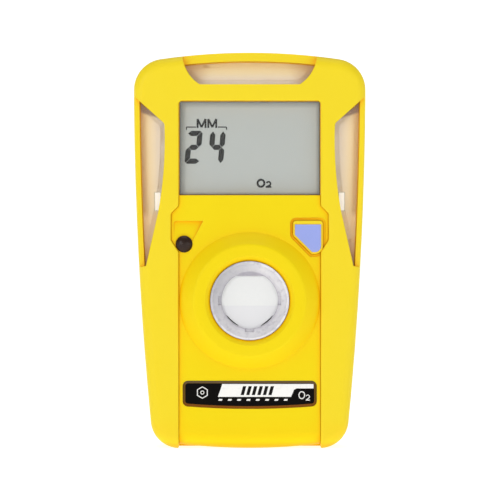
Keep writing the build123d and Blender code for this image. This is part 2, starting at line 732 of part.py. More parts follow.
def motor_can():
    can = rod(MOTOR_RADIUS, -7.5, 3.0, MOTOR_Y, MOTOR_Z)
    can = fillet(can.edges().filter_by(GeomType.CIRCLE), 0.4)
    return can - rod(MOTOR_SHAFT_RADIUS + 0.05, -0.2, 3.0, MOTOR_Y, MOTOR_Z)


def motor_boot():
    boot = block((-6.5, 2.0), (BOARD_BACK, MOTOR_Y + 3.8), (MOTOR_Z - 3.8, MOTOR_Z + 3.8))
    boot = fillet(boot.edges().filter_by(Axis.X), 1.0)
    return boot - rod(MOTOR_RADIUS, -6.5, 2.0, MOTOR_Y, MOTOR_Z)


def motor_shaft():
    return rod(MOTOR_SHAFT_RADIUS, 0.0, 8.0, MOTOR_Y, MOTOR_Z)


def motor_weight():
    weight = rod(2.6, 3.8, 7.6, MOTOR_Y, MOTOR_Z)
    weight &= block((3.0, 8.0), (MOTOR_Y - 3.0, MOTOR_Y + 3.0), (MOTOR_Z - 3.0, MOTOR_Z))
    weight += rod(1.1, 3.8, 7.6, MOTOR_Y, MOTOR_Z)
    return weight - rod(MOTOR_SHAFT_RADIUS, 3.0, 8.0, MOTOR_Y, MOTOR_Z)


def clip_base():
    sketch = Pos(0, (CLIP_LOW_Z + CLIP_HIGH_Z) / 2) * RectangleRounded(
        2 * CLIP_HALF, CLIP_HIGH_Z - CLIP_LOW_Z, 1.6)
    plate = prism(sketch, CLIP_PAD_FACE, PLATE_BACK)
    ear = polygon([(CLIP_PAD_FACE, PIN_Z - 5.5), (PIN_Y, PIN_Z - 2.6), (PIN_Y + 2.4, PIN_Z - 1.2),
                   (PIN_Y + 2.4, PIN_Z + 1.2), (PIN_Y, PIN_Z + 2.6), (CLIP_PAD_FACE, PIN_Z + 5.5)])
    ear = fillet(ear.vertices().filter_by(lambda v: v.X > CLIP_PAD_FACE + 1), 1.0)
    for x in (-CLIP_HALF, CLIP_HALF - STEEL):
        plate += side_prism(ear, x, x + STEEL)
    plate -= rod(PIN_RADIUS, -CLIP_HALF, CLIP_HALF, PIN_Y, PIN_Z)
    return plate - disc(1.35, CLIP_PAD_FACE, PLATE_BACK, 0, CLIP_SCREW_Z)


def clip_pin():
    pin = rod(PIN_RADIUS, -CLIP_HALF, CLIP_HALF, PIN_Y, PIN_Z)
    for x in (-CLIP_HALF - 0.6, CLIP_HALF):
        pin += rod(1.6, x, x + 0.6, PIN_Y, PIN_Z)
    return pin


def lever_sheet():
    """Side view of the bent steel sheet, from the thumb tab down to the toothed jaw."""
    path = Line((LEVER_BACK, 67.0), (16.4, 57.2))
    path += Line((16.4, 57.2), (16.0, 47.0))
    path += ThreePointArc((16.0, 47.0), (17.4, 38.0), (13.6, 28.2))
    path += Line((13.6, 28.2), (13.0, JAW_Z))
    path += Line((13.0, JAW_Z), (PLATE_BACK + 0.05, JAW_Z))
    return path


def clip_lever():
    section = make_face(offset(Wire(lever_sheet().edges()), STEEL, side=Side.RIGHT, closed=True))
    lever = side_prism(section, -LEVER_HALF, LEVER_HALF)
    cheek = polygon([(PIN_Y - 1.2, PIN_Z - 2.4), (PIN_Y + 2.5, PIN_Z - 4.5), (PIN_Y + 2.9, PIN_Z - 4.5),
                     (PIN_Y + 2.9, PIN_Z + 5.0), (PIN_Y + 2.3, PIN_Z + 5.0), (PIN_Y - 1.2, PIN_Z + 2.4)])
    for x in (-LEVER_HALF, LEVER_HALF - STEEL):
        lever += side_prism(cheek, x, x + STEEL)
    for tooth in range(6):
        notch = Pos(-5.5 + 2.2 * tooth, PLATE_BACK, 0) * Rot(0, 0, 45) * Box(1.1, 1.1, 4.0)
        lever -= Pos(0, 0, JAW_Z) * notch
    return lever - rod(PIN_RADIUS + 0.05, -CLIP_HALF, CLIP_HALF, PIN_Y, PIN_Z)


def leg_direction(y, z, sense):
    """Angle and length of a spring leg that leaves the coil and ends at a point."""
    reach = math.hypot(y - PIN_Y, z - PIN_Z)
    heading = math.degrees(math.atan2(z - PIN_Z, y - PIN_Y))
    lean = math.degrees(math.asin(SPRING_RADIUS / reach))
    return heading + sense * lean, math.sqrt(reach ** 2 - SPRING_RADIUS ** 2)


def clip_spring():
    """Torsion spring: one leg on the base plate, the other under the thumb tab."""
    base_angle, base_length = leg_direction(PLATE_BACK + WIRE_RADIUS + 0.05, PIN_Z + 9.0, -1)
    tab_angle, tab_length = leg_direction(14.85, PIN_Z + 6.0, 1)
    turns = SPRING_TURNS + (180 + tab_angle - base_angle) / 360
    start = math.radians(base_angle + 90)
    frame = Plane(origin=(-SPRING_HALF, PIN_Y, PIN_Z), z_dir=(1, 0, 0),
                  x_dir=(0, math.cos(start), math.sin(start)))
    coil = frame * Helix(2 * SPRING_HALF / turns, 2 * SPRING_HALF, SPRING_RADIUS)
    base_leg = Line(coil @ 0 - (coil % 0) * base_length, coil @ 0)
    tab_leg = Line(coil @ 1, coil @ 1 + (coil % 1) * tab_length)
    path = Wire([*base_leg.edges(), *coil.edges(), *tab_leg.edges()])
    return sweep(Plane(origin=path @ 0, z_dir=path % 0) * Circle(WIRE_RADIUS), path=path)


def clip_screw():
    return screw(0, CLIP_SCREW_Z, PLATE_BACK + WASHER_THICKNESS, 4.0, 2.3, 1.25, 1.4)


def clip_washer():
    washer_back = PLATE_BACK + WASHER_THICKNESS
    hole = disc(1.3, PLATE_BACK, washer_back, 0, CLIP_SCREW_Z)
    return disc(2.6, PLATE_BACK, washer_back, 0, CLIP_SCREW_Z) - hole


def clip_insert():
    hole = disc(1.25, CLIP_INSERT_FRONT, CLIP_PAD_FACE, 0, CLIP_SCREW_Z)
    return disc(2.0, CLIP_INSERT_FRONT, CLIP_PAD_FACE, 0, CLIP_SCREW_Z) - hole


PIECES = {
    "front_bumper": front_bumper,
    "front_shell": front_shell,
    "rear_shell": rear_shell,
    "shell_gasket": gasket_ring,
    "display_window": display_window,
    "display_glass": display_glass,
    "display_carrier": display_carrier,
    "zebra_strip": zebra_strip,
    "main_board": main_board,
    "board_screws": board_screws,
    "board_chips": board_chips,
    "board_header": board_header,
    "infrared_module": infrared_module,
    "case_screws": case_screws,
    "case_inserts": case_inserts,
    "push_button": push_button,
    "button_inlay": button_inlay,
    "tact_switch": tact_switch,
    "switch_plunger": switch_plunger,
    "buzzer": buzzer,
    "buzzer_gasket": buzzer_gasket,
    "alarm_port_cap": alarm_port_cap,
    "alarm_leds": alarm_leds,
    "sensor_cell": sensor_cell,
    "sensor_pins": sensor_pins,
    "sensor_sockets": sensor_sockets,
    "sensor_board": sensor_board,
    "sensor_board_screws": sensor_board_screws,
    "sensor_gasket": sensor_gasket,
    "sensor_filter": sensor_filter,
    "sensor_retainer": sensor_retainer,
    "label_plate": label_plate,
    "label_face": label_face,
    "rear_label": rear_label,
    "battery_cell": battery_cell,
    "battery_tabs": battery_tabs,
    "battery_pad": battery_pad,
    "motor_can": motor_can,
    "motor_boot": motor_boot,
    "motor_shaft": motor_shaft,
    "motor_weight": motor_weight,
    "clip_base": clip_base,
    "clip_pin": clip_pin,
    "clip_lever": clip_lever,
    "clip_spring": clip_spring,
    "clip_screw": clip_screw,
    "clip_washer": clip_washer,
    "clip_insert": clip_insert,
}

for name, build in PIECES.items():
    export_step(build(), f"parts/{name}.step")

for place, window in WINDOWS.items():
    export_step(alarm_lens(window), f"parts/alarm_lens_{place}.step")
    export_step(alarm_reflector(window, LEDS[place]), f"parts/alarm_reflector_{place}.step")
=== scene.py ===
import json
import math

import bpy
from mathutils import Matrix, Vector


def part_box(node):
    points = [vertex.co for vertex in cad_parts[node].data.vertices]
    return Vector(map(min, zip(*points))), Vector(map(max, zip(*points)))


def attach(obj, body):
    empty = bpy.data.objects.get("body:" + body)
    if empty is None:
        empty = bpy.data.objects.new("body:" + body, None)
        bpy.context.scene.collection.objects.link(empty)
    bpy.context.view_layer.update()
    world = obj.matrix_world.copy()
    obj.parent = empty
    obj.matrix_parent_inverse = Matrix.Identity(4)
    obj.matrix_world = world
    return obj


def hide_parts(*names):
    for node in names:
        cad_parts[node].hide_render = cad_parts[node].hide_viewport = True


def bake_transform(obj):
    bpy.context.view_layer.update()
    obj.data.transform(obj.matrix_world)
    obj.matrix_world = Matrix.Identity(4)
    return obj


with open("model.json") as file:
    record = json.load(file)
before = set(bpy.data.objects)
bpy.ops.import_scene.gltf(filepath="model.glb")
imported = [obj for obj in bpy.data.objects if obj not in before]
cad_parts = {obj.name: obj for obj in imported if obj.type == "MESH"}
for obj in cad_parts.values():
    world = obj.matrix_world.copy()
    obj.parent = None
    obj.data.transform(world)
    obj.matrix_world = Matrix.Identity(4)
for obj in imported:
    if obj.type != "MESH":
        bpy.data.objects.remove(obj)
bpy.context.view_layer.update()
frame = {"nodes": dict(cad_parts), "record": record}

MM = 0.001
NODES = frame["nodes"]
JOINTS = {joint["name"]: joint for joint in frame["record"]["behaviour"]["joints"]}
CASE = "case"

# Front of the case: the panel and its label bulge on this radius about an upright axis.
BULGE_RADIUS = 260 * MM

RIGHT, LEFT = (1.0, 0.0, 0.0), (-1.0, 0.0, 0.0)
UP, DOWN = (0.0, 0.0, 1.0), (0.0, 0.0, -1.0)
NOISE_ROUGHNESS = 0.55
MASK_SAMPLES = 6


# ---------------------------------------------------------------- material helpers

def srgb(red, green, blue):
    """Linear colour from display values between 0 and 255."""
    channels = []
    for value in (red, green, blue):
        share = value / 255
        channels.append(share / 12.92 if share <= 0.04045 else ((share + 0.055) / 1.055) ** 2.4)
    return (*channels, 1.0)


class Look:
    """A material on the Principled shader, built up with procedural layers."""

    def __init__(self, name, color, roughness, **sockets):
        self.material = bpy.data.materials.new(name)
        self.material.use_nodes = True
        self.tree = self.material.node_tree
        self.shader = self.tree.nodes["Principled BSDF"]
        self.shader.inputs["Base Color"].default_value = color
        self.shader.inputs["Roughness"].default_value = roughness
        for socket, value in sockets.items():
            self.shader.inputs[socket.replace("_", " ")].default_value = value
        self.place = self.add("ShaderNodeTexCoord").outputs["Object"]

    def add(self, kind, **settings):
        node = self.tree.nodes.new(kind)
        for setting, value in settings.items():
            setattr(node, setting, value)
        return node

    def link(self, source, target):
        self.tree.links.new(source, target)

    def stretched(self, stretch):
        """Object coordinates squeezed along some axes, for streaks and brushed lines."""
        if stretch is None:
            return self.place
        mapping = self.add("ShaderNodeMapping")
        mapping.inputs["Scale"].default_value = stretch
        self.link(self.place, mapping.inputs["Vector"])
        return mapping.outputs["Vector"]

    def noise(self, size, detail=3.0, stretch=None):
        """Noise whose features are about the given size, in metres."""
        node = self.add("ShaderNodeTexNoise")
        node.inputs["Scale"].default_value = 1 / size
        node.inputs["Detail"].default_value = detail
        node.inputs["Roughness"].default_value = NOISE_ROUGHNESS
        self.link(self.stretched(stretch), node.inputs["Vector"])
        return node.outputs["Fac"]

    def ranged(self, source, low, high, start=0.3, end=0.7):
        """Map a source that runs from start to end onto low to high."""
        node = self.add("ShaderNodeMapRange")
        node.inputs["From Min"].default_value = start
        node.inputs["From Max"].default_value = end
        node.inputs["To Min"].default_value = low
        node.inputs["To Max"].default_value = high
        self.link(source, node.inputs["Value"])
        return node.outputs["Result"]

    def edges(self, radius):
        """Mask that is 1 on convex and concave edges and 0 on flats."""
        bevel = self.add("ShaderNodeBevel", samples=MASK_SAMPLES)
        bevel.inputs["Radius"].default_value = radius
        geometry = self.add("ShaderNodeNewGeometry")
        dot = self.add("ShaderNodeVectorMath", operation="DOT_PRODUCT")
        self.link(bevel.outputs["Normal"], dot.inputs[0])
        self.link(geometry.outputs["Normal"], dot.inputs[1])
        return self.ranged(dot.outputs["Value"], 1.0, 0.0, 0.8, 0.99)

    def edge_wear_and_highlight(self, radius, amount):
        """Mask of edges, for worn edges and painted edge highlights: up to the given amount on an edge
        and 0 on flats.
        """
        return self.ranged(self.edges(radius), 0.0, amount, 0.0, 1.0)

    def paint(self, color):
        """Take a colour as the base colour, until a later layer covers it."""
        self.link(color, self.shader.inputs["Base Color"])
        return color

    def along(self, direction, start, end):
        """Runs from 0 to 1 between two places measured along a direction, in metres."""
        dot = self.add("ShaderNodeVectorMath", operation="DOT_PRODUCT")
        self.link(self.place, dot.inputs[0])
        dot.inputs[1].default_value = direction
        return self.ranged(dot.outputs["Value"], 0.0, 1.0, start, end)

    def around(self, centre, start, end):
        """Runs from 0 to 1 between two distances from an axis that runs front to back."""
        offset = self.add("ShaderNodeVectorMath", operation="SUBTRACT")
        self.link(self.place, offset.inputs[0])
        offset.inputs[1].default_value = centre
        flat = self.add("ShaderNodeVectorMath", operation="MULTIPLY")
        self.link(offset.outputs["Vector"], flat.inputs[0])
        flat.inputs[1].default_value = (1.0, 0.0, 1.0)
        length = self.add("ShaderNodeVectorMath", operation="LENGTH")
        self.link(flat.outputs["Vector"], length.inputs[0])
        return self.ranged(length.outputs["Value"], 0.0, 1.0, start, end)

    def bands(self, mask, stops):
        """Colour bands: stops are (place from 0 to 1, colour)."""
        ramp = self.add("ShaderNodeValToRGB")
        elements = ramp.color_ramp.elements
        while len(elements) < len(stops):
            elements.new(0.5)
        for element, (place, color) in zip(elements, stops):
            element.position = place
            element.color = color
        self.link(mask, ramp.inputs["Fac"])
        return self.paint(ramp.outputs["Color"])

    def speckle(self, color, amount, size):
        """Darken and lighten a colour slightly with noise, so that no band is flat."""
        mix = self.add("ShaderNodeMix", data_type="RGBA", blend_type="OVERLAY")
        mix.inputs["Factor"].default_value = amount
        self.link(color, mix.inputs["A"])
        self.link(self.noise(size), mix.inputs["B"])
        return self.paint(mix.outputs["Result"])

    def crevices(self, reach, closed, open_air):
        """Mask that rises towards 1 in grooves and inside corners, between two amounts of open air."""
        shade = self.add("ShaderNodeAmbientOcclusion", samples=MASK_SAMPLES)
        shade.inputs["Distance"].default_value = reach
        return self.ranged(shade.outputs["AO"], 1.0, 0.0, closed, open_air)

    def both(self, first, second):
        """Mask that is high only where both masks are."""
        product = self.add("ShaderNodeMath", operation="MULTIPLY")
        self.link(first, product.inputs[0])
        self.link(second, product.inputs[1])
        return product.outputs["Value"]

    def tint(self, mask, first, second):
        """Base colour that runs from one colour to another with a mask."""
        ramp = self.add("ShaderNodeValToRGB")
        ramp.color_ramp.elements[0].color = first
        ramp.color_ramp.elements[1].color = second
        self.link(mask, ramp.inputs["Fac"])
        return self.paint(ramp.outputs["Color"])

    def wear_and_painted_light(self, color, mask, laid_color):
        """Lay a second colour over the base colour where the mask is high: worn colour on some parts,
        painted shade, highlight or reflection on others.
        """
        mix = self.add("ShaderNodeMix", data_type="RGBA")
        self.link(mask, mix.inputs["Factor"])
        self.link(color, mix.inputs["A"])
        mix.inputs["B"].default_value = laid_color
        return self.paint(mix.outputs["Result"])

    def uneven_gloss(self, low, high, size):
        """Roughness that wanders between two values over patches of a size."""
        rough = self.ranged(self.noise(size, 4.0), low, high)
        self.link(rough, self.shader.inputs["Roughness"])

    def grain(self, height, depth, softened=0.0):
        """Bump from a height mask; softened rounds the edges underneath it."""
        bump = self.add("ShaderNodeBump")
        bump.inputs["Distance"].default_value = depth
        bump.inputs["Strength"].default_value = 1.0
        self.link(height, bump.inputs["Height"])
        if softened:
            bevel = self.add("ShaderNodeBevel", samples=MASK_SAMPLES)
            bevel.inputs["Radius"].default_value = softened
            self.link(bevel.outputs["Normal"], bump.inputs["Normal"])
        self.link(bump.outputs["Normal"], self.shader.inputs["Normal"])


# ---------------------------------------------------------------- materials

# The pale yellow goes on edges, partly as rubbed wear and partly as a painted highlight; the last three
# yellows are painted shade for hollows and grooves.
YELLOW = srgb(240, 215, 14)
YELLOW_DEEP = srgb(238, 210, 6)
YELLOW_PALE = srgb(246, 226, 80)
YELLOW_HOLLOW_SHADE = srgb(244, 199, 0)
YELLOW_CREVICE_SHADE = srgb(244, 187, 0)
YELLOW_SHADE = srgb(238, 202, 4)


def moulded_yellow(name, roughness, gloss, grain_size, grain_depth, paleness=0.22,
                   crevice_shade=YELLOW_CREVICE_SHADE):
    """Yellow moulding: fine spark-eroded grain, faint flow marks, pale edges that are partly rubbed
    wear and partly painted highlight, and painted shade in hollows and grooves.
    """
    look = Look(name, YELLOW, roughness, Specular_IOR_Level=gloss)
    flow = look.noise(9 * MM, 3.0, (1.0, 1.0, 0.35))
    color = look.tint(flow, YELLOW_DEEP, YELLOW)
    # Pale edges: partly rubbed wear, partly a painted highlight.
    color = look.wear_and_painted_light(color, look.edge_wear_and_highlight(0.35 * MM, paleness), YELLOW_PALE)
    # Painted shade: a warmer yellow laid into wide hollows and slopes, faded out near the floor.
    above_floor = look.along(UP, 1 * MM, 8 * MM)
    hollow_shade = look.both(look.crevices(7 * MM, 0.66, 0.97), above_floor)
    color = look.wear_and_painted_light(color, hollow_shade, YELLOW_HOLLOW_SHADE)
    # Painted shade: a deeper orange yellow laid into narrow grooves and inside corners.
    look.wear_and_painted_light(color, look.crevices(1.6 * MM, 0.35, 0.95), crevice_shade)
    look.uneven_gloss(roughness - 0.06, roughness + 0.06, 5 * MM)
    look.grain(look.noise(grain_size, 2.0), grain_depth, 0.1 * MM)
    return look.material


def clear_plastic(name, tint, see_through, roughness, streaks=None):
    """Clear moulding that shows what is behind it, with a glossy skin."""
    look = Look(name, tint, roughness, Alpha=see_through, IOR=1.49, Coat_Weight=1.0,
                Coat_Roughness=0.03)
    look.uneven_gloss(roughness * 0.7, roughness * 1.4, 3 * MM)
    look.grain(look.noise(0.9 * MM, 2.0, streaks), 0.02 * MM, 0.15 * MM)
    return look.material


def plain_moulding(name, color, other, roughness, grain_size=0.25 * MM, **sockets):
    """Small moulded piece with fine grain, uneven gloss and slightly rubbed edges."""
    look = Look(name, color, roughness, **sockets)
    tinted = look.tint(look.noise(2.2 * MM), color, other)
    look.wear_and_painted_light(tinted, look.edge_wear_and_highlight(0.2 * MM, 0.3), other)
    look.uneven_gloss(roughness * 0.8, min(1.0, roughness * 1.2), 1.5 * MM)
    look.grain(look.noise(grain_size, 2.0), 0.012 * MM, 0.12 * MM)
    return look.material


def worked_metal(name, color, dark, roughness, stretch, line_size=0.12 * MM, streak_size=3 * MM):
    """Metal with rolled or turned lines along one direction and bright worn edges."""
    look = Look(name, color, roughness, Metallic=1.0)
    lines = look.noise(line_size, 4.0, stretch)
    tinted = look.tint(look.noise(streak_size, 4.0, stretch), dark, color)
    look.wear_and_painted_light(tinted, look.edge_wear_and_highlight(0.25 * MM, 0.5), srgb(226, 226, 228))
    look.link(look.ranged(lines, roughness * 0.7, roughness * 1.5), look.shader.inputs["Roughness"])
    look.grain(lines, 0.006 * MM, 0.15 * MM)
    return look.material


def reflector_look(name):
    """Tan plate behind a clear lens, with a faint painted glow for the light the lens gathers."""
    # The emission is a painted glow.
    return Look(name, srgb(226, 200, 160), 0.4, Specular_IOR_Level=0.3,
                Emission_Color=srgb(255, 232, 200), Emission_Strength=0.1)


def finish_reflector(look, streaks):
    """Uneven gloss and fine streaks that the reflectors share."""
    look.uneven_gloss(0.3, 0.5, 1.5 * MM)
    look.grain(look.noise(0.5 * MM, 2.0, streaks), 0.02 * MM)


def reflector_stops():
    """Bands of painted reflection across a side reflector, from its inner edge to its outer edge."""
    return ((0.0, srgb(236, 230, 220)), (0.25, srgb(232, 222, 206)), (0.5, srgb(240, 224, 188)),
            (0.68, srgb(240, 218, 166)), (0.82, srgb(230, 200, 138)), (0.97, srgb(208, 166, 102)))


def side_reflector(name, sign):
    """Tan reflector with bands of painted reflection along the lens, paler below about 51 mm, with
    painted shade at its upper end wall and its lower tip.
    """
    look = reflector_look(name)
    # The bands lean outwards by this share of the height, about a point 76 mm up.
    lean = 0.033
    shift = lean * 76 * MM
    across = look.along((sign, 0.0, -lean), 19.0 * MM - shift, 24.2 * MM - shift)
    # Painted reflection of the curved lens, banded across the reflector.
    color = look.speckle(look.bands(across, reflector_stops()), 0.06, 0.9 * MM)
    color = look.wear_and_painted_light(color, look.along(DOWN, -52.2 * MM, -50.6 * MM),
                      srgb(250, 222, 170))
    # Painted shade towards the lower tip.
    color = look.wear_and_painted_light(color, look.along(DOWN, -44.5 * MM, -40.5 * MM),
                      srgb(234, 194, 124))
    # Painted shadow under the upper end wall.
    end_wall_shadow = look.along((-0.3 * sign, 0.0, 1.0), 66.45 * MM, 66.95 * MM)
    look.wear_and_painted_light(color, end_wall_shadow, srgb(150, 112, 84))
    finish_reflector(look, (3.0, 1.0, 0.3))
    return look.material


def top_reflector(name):
    """Tan reflector with bands of painted reflection, paler towards its lower edge and darker tan
    towards its two ends.
    """
    look = reflector_look(name)
    stops = ((0.0, srgb(255, 248, 240)), (0.2, srgb(246, 236, 222)), (0.36, srgb(244, 232, 202)),
             (0.52, srgb(242, 224, 172)), (0.72, srgb(236, 212, 146)), (0.98, srgb(232, 204, 140)))
    # Painted reflection of the curved lens, paler towards the lower edge.
    color = look.bands(look.along(UP, 80.0 * MM, 85.0 * MM), stops)
    color = look.speckle(color, 0.06, 0.9 * MM)
    for sign in (1.0, -1.0):
        color = look.wear_and_painted_light(color, look.along((sign, 0.0, 0.35), 37.6 * MM, 43.6 * MM),
                          srgb(200, 154, 88))
    finish_reflector(look, (0.3, 1.0, 3.0))
    return look.material


def polariser(name):
    """Grey film over the liquid crystal, with painted shade along its framed edges."""
    look = Look(name, srgb(188, 192, 188), 0.6, Specular_IOR_Level=0.3)
    low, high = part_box("display_glass")
    grey, shade = srgb(181, 185, 181), srgb(134, 142, 142)
    color = look.tint(look.noise(4 * MM), grey, srgb(178, 183, 179))
    # Painted shade from the frame along the left, top, right and bottom edges.
    color = look.wear_and_painted_light(color, look.along(LEFT, -low.x - 1.5 * MM, -low.x), shade)
    color = look.wear_and_painted_light(color, look.along(UP, high.z - 1.4 * MM, high.z), shade)
    color = look.wear_and_painted_light(color, look.along(RIGHT, high.x - 0.8 * MM, high.x), shade)
    look.wear_and_painted_light(color, look.along(DOWN, -low.z - 0.5 * MM, -low.z), shade)
    look.uneven_gloss(0.5, 0.7, 1.2 * MM)
    look.grain(look.noise(0.06 * MM, 1.0), 0.003 * MM)
    return look.material


def clear_ring(name):
    """Milky clear ring: painted shade at its inner edge, a streaked dish, a painted highlight along its
    thin rim and painted shade towards its upper left.
    """
    look = Look(name, srgb(214, 211, 217), 0.14, Alpha=0.85, IOR=1.49, Coat_Weight=0.5,
                Coat_Roughness=0.08)
    low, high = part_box("sensor_retainer")
    centre = ((low.x + high.x) / 2, 0.0, (low.z + high.z) / 2)
    radius = (high.x - low.x) / 2
    # Painted shade at the inner edge (first stop) and a painted highlight along the rim (the brightest
    # stop).
    stops = ((0.0, srgb(186, 180, 190)), (0.12, srgb(222, 219, 226)), (0.4, srgb(234, 232, 236)),
             (0.72, srgb(230, 228, 234)), (0.86, srgb(252, 251, 253)), (1.0, srgb(226, 222, 230)))
    color = look.bands(look.around(centre, 0.71 * radius, radius), stops)
    color = look.speckle(color, 0.3, 1.1 * MM)
    color = look.wear_and_painted_light(color, look.ranged(look.noise(1.3 * MM, 4.0), 0.0, 0.6, 0.52, 0.72),
                      srgb(186, 182, 194))
    middle = 0.6 * centre[2] - 0.8 * centre[0]
    # Painted shade towards the upper left side.
    shaded = look.along((-0.8, 0.0, 0.6), middle + 0.2 * radius, middle + radius)
    look.wear_and_painted_light(color, look.ranged(shaded, 0.0, 0.75, 0.0, 1.0), srgb(172, 172, 180))
    look.uneven_gloss(0.08, 0.25, 0.8 * MM)
    look.grain(look.noise(0.9 * MM, 3.0), 0.14 * MM, 0.1 * MM)
    return look.material


def dust_filter(name):
    """Porous white disc, a little greyer below a painted reflection of the horizon across it."""
    look = Look(name, srgb(238, 238, 237), 0.85, Specular_IOR_Level=0.2)
    low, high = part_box("sensor_filter")
    # Painted reflection of the horizon: a little greyer below this line across the disc.
    reflected_horizon = (low.z + high.z) / 2 - 1.2 * MM
    color = look.tint(look.along(UP, reflected_horizon - 0.1 * MM, reflected_horizon + 0.2 * MM),
                      srgb(226, 226, 228), srgb(233, 234, 233))
    color = look.speckle(color, 0.08, 0.6 * MM)
    look.wear_and_painted_light(color, look.along(UP, reflected_horizon + 0.05 * MM, reflected_horizon - 0.35 * MM), srgb(228, 228, 230))
    look.uneven_gloss(0.75, 0.95, 0.4 * MM)
    look.grain(look.noise(0.08 * MM, 2.0), 0.01 * MM)
    return look.material


def nameplate_frame(name):
    """Glossy brown frame of the nameplate, amber along its lower edge, with a painted greyish
    reflection along its top edge.
    """
    look = Look(name, srgb(70, 44, 20), 0.2, Specular_IOR_Level=0.12)
    low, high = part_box("label_plate")
    color = look.tint(look.along(UP, low.z + 0.3 * MM, low.z + 2.2 * MM),
                      srgb(130, 72, 2), srgb(98, 70, 16))
    # Painted reflection along the top edge.
    look.wear_and_painted_light(color, look.along(UP, high.z - 0.9 * MM, high.z), srgb(96, 82, 60))
    look.uneven_gloss(0.14, 0.3, 1.2 * MM)
    look.grain(look.noise(0.4 * MM, 2.0), 0.01 * MM, 0.1 * MM)
    return look.material


def circuit_board(name):
    """Solder mask with faint copper runs under it."""
    look = Look(name, srgb(14, 84, 48), 0.3, Coat_Weight=0.4, Coat_Roughness=0.15)
    flat = look.add("ShaderNodeMapping")
    flat.inputs["Rotation"].default_value = (math.pi / 2, 0.0, 0.0)
    look.link(look.place, flat.inputs["Vector"])
    runs = look.add("ShaderNodeTexBrick", offset=0.37, squash=0.6, squash_frequency=3)
    for socket, value in (("Scale", 1 / (2.4 * MM)), ("Mortar Size", 0.03), ("Mortar Smooth", 0.1),
                          ("Brick Width", 1.6), ("Row Height", 0.3)):
        runs.inputs[socket].default_value = value
    look.link(flat.outputs["Vector"], runs.inputs["Vector"])
    copper = runs.outputs["Fac"]
    look.tint(copper, srgb(12, 74, 42), srgb(34, 122, 66))
    look.uneven_gloss(0.25, 0.4, 2 * MM)
    look.grain(copper, 0.02 * MM)
    return look.material


def rubber(name, color, other):
    """Matt moulded rubber or foam with a soft sheen."""
    roughness = 0.75
    look = Look(name, color, roughness, Sheen_Weight=0.15)
    look.tint(look.noise(1.8 * MM), color, other)
    look.uneven_gloss(roughness - 0.1, roughness + 0.1, 1.2 * MM)
    look.grain(look.noise(0.18 * MM, 2.0), 0.02 * MM, 0.15 * MM)
    return look.material


BODY = moulded_yellow("moulded_yellow", 0.42, 0.12, 0.22 * MM, 0.008 * MM)
BACK = moulded_yellow("moulded_yellow_back", 0.42, 0.2, 0.22 * MM, 0.008 * MM, crevice_shade=YELLOW_SHADE)
BUMPER = moulded_yellow("overmoulded_yellow", 0.5, 0.35, 0.28 * MM, 0.012 * MM)
